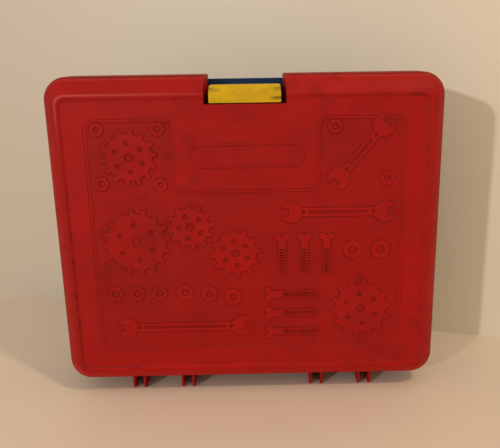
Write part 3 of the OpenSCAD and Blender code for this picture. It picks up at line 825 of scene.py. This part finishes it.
# Places from the case's centre in mm, the same as in the solids: x, height, then size
relief = {
    "cogs": [(-121, 87, 29, 14), (-119, -4, 36, 16), (-61, 12, 25, 12), (-14, -18, 27, 12),
             (122, -84, 33, 14)],
    "spanners": [(119, 89, 50, 94), (96, 26, 0, 122), (-72, -102, 0, 150)],
    "nuts": [(-90, 116, 8), (-151, 60, 8), (92, 116, 8), (147, 61, 8), (-146, -62, 9), (-122, -62, 9),
             (-98, -62, 9)],
    "bolts": [(36, -20, -90, 46), (60, -20, -90, 46), (84, -20, -90, 46),
              (46, -66, 0, 58), (46, -88, 0, 58), (46, -110, 0, 58)],
    "washers": [(-152, 116, 7), (-90, 58, 7), (-70, -62, 9), (-44, -64, 9),
                (-18, -68, 9), (112, -16, 10), (142, -16, 10)],
    "toothHeight": 5,
    "toothWidth": 5.2,
    "cogHoles": (4.6, 2.7, 0.62),  # middle hole, outer holes, and how far out they lie
    "spannerHead": 11.5,
    "spannerBar": 9,
    "spannerHoles": (3.4, 2.1),  # width of the bar's slot, radius of the holes beside it
    "boltHead": (7, 16),
    "boltShank": 8,
    "threadPitch": 3.1,
    "threadMark": (5.6, 1.5, 78),  # length, width, lean
    "nutHole": 0.47,
    "washerHole": 0.46,
    # each shape's edge from below the field's floor to its top: mm outwards, share of the height
    "levels": [(0.34, -0.3), (0.34, 0), (0.22, 0.2), (0.1, 0.7), (0, 0.9), (-0.2, 1), (-0.5, 1)],
}


def inMetres(points):
    return [(a * mm, b * mm) for a, b in points]


def slotOutline(x, v, length, width, degrees=0, steps=6):
    reach = (length - width) / 2
    points = arc((reach, 0), width / 2, -90, 90, steps) + arc((-reach, 0), width / 2, 90, 270, steps)
    return moved(points, x, v, degrees)


def cogShape(radius, teeth):
    root = radius - relief["toothHeight"]
    half = relief["toothWidth"] / 2
    base = math.degrees(math.asin(half / root))
    foot = root * math.cos(math.radians(base))
    points = []
    for i in range(teeth):
        middle = 360 * i / teeth
        tooth = [(foot, -half), (radius, -half + 0.5), (radius, half - 0.5), (foot, half)]
        points += moved(tooth, 0, 0, middle)
        gap = arc((0, 0), root, middle + base, middle + 360 / teeth - base, 4)
        points += gap[1:-1]
    bore, small, out = relief["cogHoles"]
    holes = [circle(0, 0, bore)]
    spokes = 6 if radius > 26 else 5
    for i in range(spokes):
        c, s = turn(360 * (i + 0.5) / spokes)
        holes.append(circle(c * root * out, s * root * out, small, 20))
    return filleted(points, 0.9, 3, 25), holes


def spannerShape(length):
    head, half = relief["spannerHead"], relief["spannerBar"] / 2
    lean = math.degrees(math.asin(half / head))
    end = (arc((0, 0), head, 180 + lean, 360 - lean, 14) + [(head / 4, -half), (head / 4, half)]
           + arc((0, 0), head, lean, 180 - lean, 14))
    reach = length / 2 - head
    points = moved(end, reach, 0) + moved(moved(end, reach, 0), 0, 0, 180)
    slot, small = relief["spannerHoles"]
    holes = [slotOutline(0, 0, length - 4 * head - 14, slot)]
    for side in (-1, 1):
        holes.append(circle(side * (reach - head - 1), 0, small, 18))
    return filleted(points, 1.3, 3, 25), holes


def nutShape(radius):
    return filleted(circle(0, 0, radius, 6), 1, 4), [circle(0, 0, radius * relief["nutHole"], 24)]


def boltShape(length):
    thick, wide = relief["boltHead"]
    half = relief["boltShank"] / 2
    left = -length / 2
    points = [(left, -wide / 2), (left + thick, -wide / 2), (left + thick, -half), (length / 2, -half),
              (length / 2, half), (left + thick, half), (left + thick, wide / 2), (left, wide / 2),
              (left, 1.3), (left + 2.4, 1.3), (left + 2.4, -1.3), (left, -1.3)]
    outline = filleted(points, [4.5, 0.8, 0.8, 1.4, 1.4, 0.8, 0.8, 4.5, 0.5, 0.5, 0.5, 0.5], 5)
    holes = []
    x = length / 2 - 3
    while x > left + thick + 0.42 * length * 0.5:  # the shank stays plain near the head
        holes.append(slotOutline(x, 0, *relief["threadMark"], 4))
        x -= relief["threadPitch"]
    return outline, holes


def washerShape(radius):
    return circle(0, 0, radius, 36), [circle(0, 0, radius * relief["washerHole"], 24)]


def allShapes():
    for x, v, radius, teeth in relief["cogs"]:
        yield x, v, 6, cogShape(radius, teeth)
    for x, v, degrees, length in relief["spanners"]:
        yield x, v, degrees, spannerShape(length)
    for x, v, radius in relief["nuts"]:
        yield x, v, 0, nutShape(radius)
    for x, v, degrees, length in relief["bolts"]:
        yield x, v, degrees, boltShape(length)
    for x, v, radius in relief["washers"]:
        yield x, v, 0, washerShape(radius)


def raisedShapes():
    bm = bmesh.new()
    floorDepth = faceDepth - field["depth"]
    levels = inMetres(relief["levels"])
    for x, v, degrees, (outline, holes) in allShapes():
        c, s = turn(degrees)
        outlines = [inMetres(outline)] + [inMetres(reversedHole(hole)) for hole in holes]
        plate(bm, outlines, levels, lambda a, b, height: front(
            x * mm + a * c - b * s, v * mm + a * s + b * c, floorDepth + height))
    piece = makeObject("raised_shapes", bm, [redFace], "front")
    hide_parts("front_shell")
    evenNormals(piece)


# The badge's outline ring, in mm
badge = {
    "width": 120,
    "height": 25,
    "line": 2,
    "drop": 62.8,
    "levels": [(0.3, -0.3), (0.25, 0), (0.1, 0.25), (-0.1, 0.45), (-0.35, 0.57), (-0.6, 0.6)],
}


def bareBadge():
    bm = bmesh.new()
    middle = case["height"] / 2 / mm - shell["bandWidth"] / mm - badge["drop"]
    inner = (badge["width"] - 2 * badge["line"], badge["height"] - 2 * badge["line"])
    outlines = [slotOutline(0, middle, badge["width"], badge["height"], 0, 20),
                reversedHole(slotOutline(0, middle, inner[0], inner[1], 0, 20))]
    plate(bm, [inMetres(points) for points in outlines], inMetres(badge["levels"]),
          lambda a, b, height: front(a, b, faceDepth + height))
    piece = makeObject("bare_badge_ring", bm, [redFace], "front")
    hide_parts("front_shell")


raisedShapes()
bareBadge()
print("raised shapes made")


# Hinge ribs under the front shell, and the bead that the latch snaps over

# Sizes in mm
rib = {
    "pairs": (-130.5, -74.3, 74.3, 130.5),
    "pitch": 12.2,
    "thick": 2.6,
    "corner": 4,
    "front": 25.76,
    "axis": 7,
    "ear": 6.4,
    "bore": 2.05,
    "lap": 1,
}
floorV = -case["middle"] / mm
axisV = floorV + rib["axis"]
edgeV = -case["height"] / 2 / mm
rimV = edgeV - case["flare"] / mm


def ribOutline():
    # side view: distance in front of the rims, height
    corner = rib["corner"]
    points = arc((rib["front"] - corner, floorV + corner), corner, -90, 0, 6)
    points += [(rib["front"], edgeV + rib["lap"]), (rimDepth / mm, rimV + rib["lap"])]
    points += arc((0, axisV), rib["ear"], 88, 270, 22)
    points += [(0, floorV)]
    return points


def ribLevels(thick, soft=0.35):
    half = thick / 2
    levels = [(-soft, -half), (-soft * 0.3, -half + soft * 0.3), (0, -half + soft)]
    levels += [(grow, -height) for grow, height in reversed(levels)]
    return inMetres(levels)


def hingeRibs():
    bm = bmesh.new()
    outlines = [inMetres(ribOutline()), inMetres(reversedHole(circle(0, axisV, rib["bore"], 24)))]
    for pair in rib["pairs"]:
        for side in (-0.5, 0.5):
            x = (pair + side * rib["pitch"]) * mm
            plate(bm, outlines, ribLevels(rib["thick"]), lambda a, b, height: front(x + height, b, a))
    piece = makeObject("hinge_ribs", bm, [redFace], "front")
    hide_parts("front_shell")


# The bead, in mm; its levels give mm outwards and a share of the rise
bead = {
    "length": 40,
    "width": 1.4,
    "rise": 1.1,
    "back": 3.8,
    "levels": [(0.1, -0.5), (0.1, 0.05), (0, 0.7), (-0.2, 0.95), (-0.4, 1)],
}


def snapBead():
    bm = bmesh.new()
    middle = faceDepth / mm - bead["back"] + bead["width"] / 2
    outline = inMetres(slotOutline(0, middle, bead["length"], bead["width"]))
    levels = inMetres([(grow, height * bead["rise"]) for grow, height in bead["levels"]])
    plate(bm, [outline], levels, lambda a, b, height: front(a, notchFloor + height, b))
    piece = makeObject("snap_bead", bm, [redFace], "front")
    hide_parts("front_shell")


hingeRibs()
snapBead()
print("hinge ribs made")


# Latch: a rounded yellow cap with cheeks and a barrel on its pin

# Sizes in mm
latch = {
    "width": 73.8,
    "taper": 1.6,
    "topDrop": 10.2,
    "thick": 2.2,
    "gap": 1.3,
    "frontRound": 35,
    "flatRise": 3,
    "pinDepth": 9.5,
    "barrel": 6.4,
    "bore": 1.55,
    "lugWidth": 5,
    "sideGap": 0.3,
    "topRound": 1.6,
    "taperBend": 1.6,
    "soft": 1.25,
    "sharp": 35,  # degrees
    "edge": 0.25 * mm,
}
latchTop = case["height"] / 2 / mm - latch["topDrop"]
latchLow = notchFloor / mm + latch["gap"]
latchPinV = latchTop - latch["barrel"]
cheekX = (latch["width"] - latch["taper"]) / 2


def latchSide(inward):
    # side view of the latch's skin from its lower edge up: distance, height
    radius = latch["frontRound"]
    start = latchLow + latch["flatRise"]
    sweep = math.degrees(math.asin((latchTop - start) / radius))
    bend = arc((faceDepth / mm - radius, start), radius - inward, 0, sweep, 16)
    return [(faceDepth / mm - inward, latchLow)] + bend


def latchSolid(name, outline, holes, levels):
    bm = bmesh.new()
    outlines = [inMetres(outline)] + [inMetres(reversedHole(hole)) for hole in holes]
    plate(bm, outlines, levels, lambda a, b, height: front(height, b, a))
    bmesh.ops.recalc_face_normals(bm, faces=bm.faces)
    mesh = bpy.data.meshes.new(name)
    bm.to_mesh(mesh)
    bm.free()
    solid = bpy.data.objects.new(name, mesh)
    scene.collection.objects.link(solid)
    return solid


def endLevels(half, soft):
    rows = [(-soft, half), (-soft * 0.62, half - soft * 0.08), (-soft * 0.29, half - soft * 0.29),
            (-soft * 0.08, half - soft * 0.62), (0, half - soft)]
    rows = [(grow, -height) for grow, height in rows] + [(0, 0)] + list(reversed(rows))
    return inMetres(rows)


def joined(base, tool, operation):
    cut = base.modifiers.new("join", "BOOLEAN")
    cut.operation = operation
    cut.solver = "EXACT"
    cut.object = tool
    bpy.context.view_layer.update()
    done = bpy.data.meshes.new_from_object(base.evaluated_get(bpy.context.evaluated_depsgraph_get()))
    base.modifiers.clear()
    base.data = done
    bpy.data.objects.remove(tool)


def makeLatch():
    skin = latchSide(0)
    inside = [p for p in latchSide(latch["thick"]) if p[1] < latchTop - latch["thick"]]
    heel = latchPinV - latch["barrel"] + 1
    pinD = latch["pinDepth"]
    side = skin[:-1] + filleted([skin[-2], skin[-1], (pinD, latchTop)], [0, latch["topRound"], 0], 5)[1:-1]
    body = side + arc((pinD, latchPinV), latch["barrel"], 90, 245, 16) + [(pinD + 4, heel)]
    base = latchSolid("latch_cap", body, [], endLevels(latch["width"] / 2, latch["soft"]))
    room = cheekX - latch["thick"]
    under = latchTop - latch["thick"]
    clearLow, clearBack = latchLow - 3, -2  # outside the cap, so that the cut runs through
    hollow = [(inside[0][0], clearLow)] + inside[1:]
    hollow += [(inside[-1][0] - 1, under), (clearBack, under), (clearBack, clearLow)]
    wide = [(0, -room * mm), (0, room * mm)]
    joined(base, latchSolid("hollow", filleted(hollow, 0.6, 3, 40), [], wide), "DIFFERENCE")
    reach = cheekX - latch["thick"] - latch["sideGap"] - latch["lugWidth"] - latch["sideGap"]
    barrel = circle(pinD, latchPinV, latch["barrel"] - 0.02, 40)
    joined(base, latchSolid("barrel", barrel, [], [(0, -reach * mm), (0, reach * mm)]), "UNION")
    bore = circle(pinD, latchPinV, latch["bore"], 28)
    through = latch["width"] / 2 + 1
    joined(base, latchSolid("bore", bore, [], [(0, -through * mm), (0, through * mm)]), "DIFFERENCE")
    # the cap narrows towards its top, with round upper corners
    for vertex in base.data.vertices:
        v = (vertex.co.z - case["middle"]) / mm
        share = min(max((v - (latchLow + latchTop) / 2) / ((latchTop - latchLow) / 2), 0), 1)
        narrow = latch["taper"] / 2 * share ** latch["taperBend"]
        vertex.co.x *= 1 - narrow / (latch["width"] / 2)
    base.data.shade_smooth()
    base.data.set_sharp_from_angle(angle=math.radians(latch["sharp"]))
    base.data.materials.clear()
    base.data.materials.append(yellowLatch)
    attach(base, "latch")
    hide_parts("latch")
    softEdges(base, latch["edge"])


makeLatch()
print("latch made")

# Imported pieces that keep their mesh

# each piece's material and the width of its softened edges
looks = {
    "rear_shell": (blueShell, 0.6 * mm),
    "latch_pin": (steel, 0.2 * mm),
    "parts_tray": (greyTray, 0.3 * mm),
    "tray_screws": (steel, 0.15 * mm),
    "tray_cover": (clearSheet, 0.2 * mm),
    "small_parts_box": (yellowBox, 0.3 * mm),
    "small_parts_lid": (clearSheet, 0.3 * mm),
}
for i in range(1, 5):
    looks[f"hinge_pin_{i}"] = (steel, 0.3 * mm)
for i in range(1, 4):
    looks[f"tray_divider_{i}"] = (greyTray, 0.3 * mm)
for name, (material, width) in looks.items():
    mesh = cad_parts[name].data
    mesh.materials.clear()
    mesh.materials.append(material)
    softenNode(name, width)
print("packed pieces dressed")

# Stage, light and camera

stageLook = {
    "floorColour": (0.75, 0.605, 0.46, 1),
    "wallColour": (0.62, 0.53, 0.40, 1),
    "cloudTint": (0.9, 0.9, 0.9, 1),
    "cloudShare": 0.12,
    "paintedLightAcross": (-0.4, 0.4),  # between these x places the painted light changes from the left's share to the right's
    "floorPaintedLight": (1.0, 0.92),
    "wallPaintedLight": (0.86, 1.1),
    "grain": 0.1 * mm,
    "roughness": 0.45,
    "specular": 0.45,
    "floorHalf": (3, 2.5),
    "wallLeft": (-0.4216, 0.2916),
    "wallRight": (0.3359, 0.0908),
    "wallBeyond": 2,  # how far the wall runs on past each of those two places
    "wallHeight": 1.5,
}


def stageMaterial(name, colour, paintedLightTones, oneSided=False):
    material, tree, shader, where = startMaterial(name)
    clouds = spread(tree, noise(tree, where, 3, 3), 0.3, 0.7, 0, stageLook["cloudShare"])
    tint = blendColours(tree, clouds, colour, stageLook["cloudTint"], "MULTIPLY")
    # painted light: floor and wall grow darker or brighter from left to right
    paintedLightTone = spread(tree, parted(tree, where)[0], *stageLook["paintedLightAcross"], *paintedLightTones)
    tint = blendColours(tree, 1.0, tint, paintedLightTone, "MULTIPLY")
    tree.links.new(tint, shader.inputs["Base Color"])
    bump(tree, shader, noise(tree, where, 180, 3), stageLook["grain"])
    shader.inputs["Roughness"].default_value = stageLook["roughness"]
    shader.inputs["Specular IOR Level"].default_value = stageLook["specular"]
    if oneSided:  # the back lets views from behind the wall through
        sideSeen = tree.nodes.new("ShaderNodeNewGeometry")
        through = tree.nodes.new("ShaderNodeBsdfTransparent")
        choice = tree.nodes.new("ShaderNodeMixShader")
        tree.links.new(sideSeen.outputs["Backfacing"], choice.inputs["Fac"])
        tree.links.new(shader.outputs["BSDF"], choice.inputs[1])
        tree.links.new(through.outputs["BSDF"], choice.inputs[2])
        tree.links.new(choice.outputs["Shader"], tree.nodes["Material Output"].inputs["Surface"])
    return material


def stageSheet(name, corners, material):
    bm = bmesh.new()
    bm.faces.new([bm.verts.new(corner) for corner in corners])
    mesh = bpy.data.meshes.new(name)
    bm.to_mesh(mesh)
    bm.free()
    mesh.materials.append(material)
    sheet = bpy.data.objects.new(name, mesh)
    scene.collection.objects.link(sheet)


def makeStage():
    x, y = stageLook["floorHalf"]
    floorLook = stageMaterial("stage_floor", stageLook["floorColour"], stageLook["floorPaintedLight"])
    stageSheet("floor", ((-x, -y, 0), (x, -y, 0), (x, y, 0), (-x, y, 0)), floorLook)
    left, right = Vector(stageLook["wallLeft"]), Vector(stageLook["wallRight"])
    along = (right - left).normalized() * stageLook["wallBeyond"]
    left, right = left - along, right + along
    high = stageLook["wallHeight"]
    wallLook = stageMaterial("stage_wall", stageLook["wallColour"], stageLook["wallPaintedLight"], True)
    stageSheet("wall", ((*left, 0), (*right, 0), (*right, high), (*left, high)), wallLook)


makeStage()

light = {
    "key": {
        "place": (-2.84, -3.777, 1.477),
        "aim": (0, 0, 0.18),
        "size": 0.18,
        "power": 80,
        "colour": (0.93, 0.95, 1.0),
    },
    "warm": {
        "place": (1.01, -1.07, 1.95),
        "aim": (0, 0, 0.1),
        "size": 0.14,
        "power": 15,
        "colour": (1.0, 0.8, 0.55),
    },
    "world": (1.0, 0.93, 0.87, 1),
    "worldStrength": 0.66,
}


def addLamp(name, lamp):
    data = bpy.data.lights.new(name, "AREA")
    data.shape = "DISK"
    data.size = lamp["size"]
    data.energy = lamp["power"]
    data.color = lamp["colour"]
    spot = bpy.data.objects.new(name, data)
    spot.location = lamp["place"]
    aim = Vector(lamp["aim"]) - Vector(lamp["place"])
    spot.rotation_euler = aim.to_track_quat("-Z", "Y").to_euler()
    scene.collection.objects.link(spot)


for lampName in ("key", "warm"):
    addLamp(lampName, light[lampName])
world = bpy.data.worlds.new("soft room")
world.use_nodes = True
world.node_tree.nodes["Background"].inputs["Color"].default_value = light["world"]
world.node_tree.nodes["Background"].inputs["Strength"].default_value = light["worldStrength"]
scene.world = world
print("stage and lamps made")

view = {
    "place": (0.01564, -0.67056, 0.3655),
    "turn": (75.213, 0.839, -0.937),
    "lens": 44.155,
    "shiftX": -0.0401,
}
cameraData = bpy.data.cameras.new("camera")
cameraData.sensor_width = 36
cameraData.sensor_fit = "HORIZONTAL"
cameraData.lens = view["lens"]
cameraData.shift_x = view["shiftX"]
cameraData.clip_start = 0.01
camera = bpy.data.objects.new("camera", cameraData)
camera.location = view["place"]
camera.rotation_euler = [math.radians(a) for a in view["turn"]]
scene.collection.objects.link(camera)
scene.camera = camera
